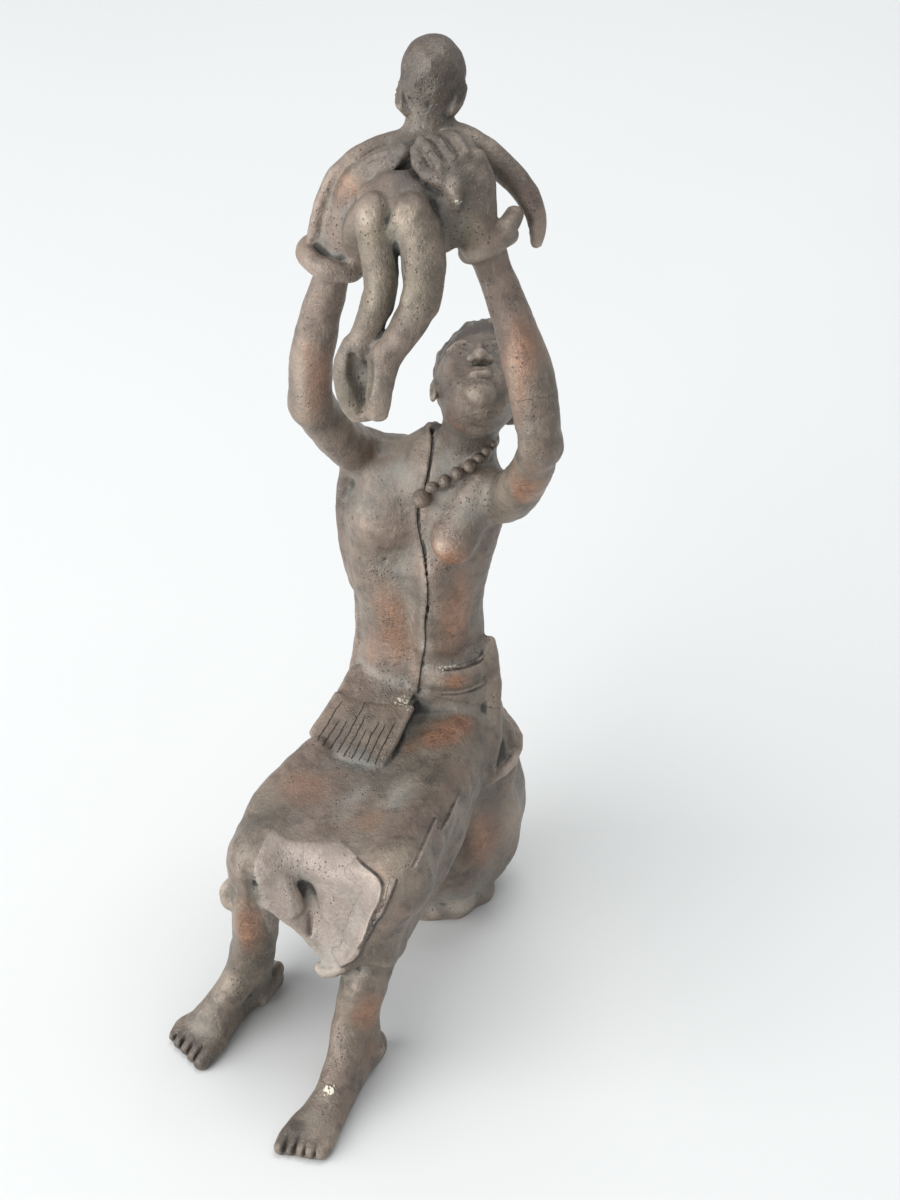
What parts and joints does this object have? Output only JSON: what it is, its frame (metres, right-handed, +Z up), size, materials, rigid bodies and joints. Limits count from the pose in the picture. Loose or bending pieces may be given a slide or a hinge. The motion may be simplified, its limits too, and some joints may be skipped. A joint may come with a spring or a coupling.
{
  "type": "african maternity figure",
  "caption": "Cast bronze of a seated woman on a round pot who lifts a small child over her head, with a wrap, a fringed sash, beads and bangles; stands on the pot's foot and both soles.",
  "frame": {"origin": "centre of the pot's foot, on the floor", "axes": "+Z up, the figure faces -Y, and her left side is at +X"},
  "size_m": [0.1325, 0.2242, 0.4384],
  "materials": {
    "bronze": "cast bronze with a dull mauve-brown patina, copper-coloured where hands have rubbed it and grey-green in the hollows"
  },
  "bodies": {
    "root": {"mother_and_child": "bronze"}
  },
  "joints": []
}
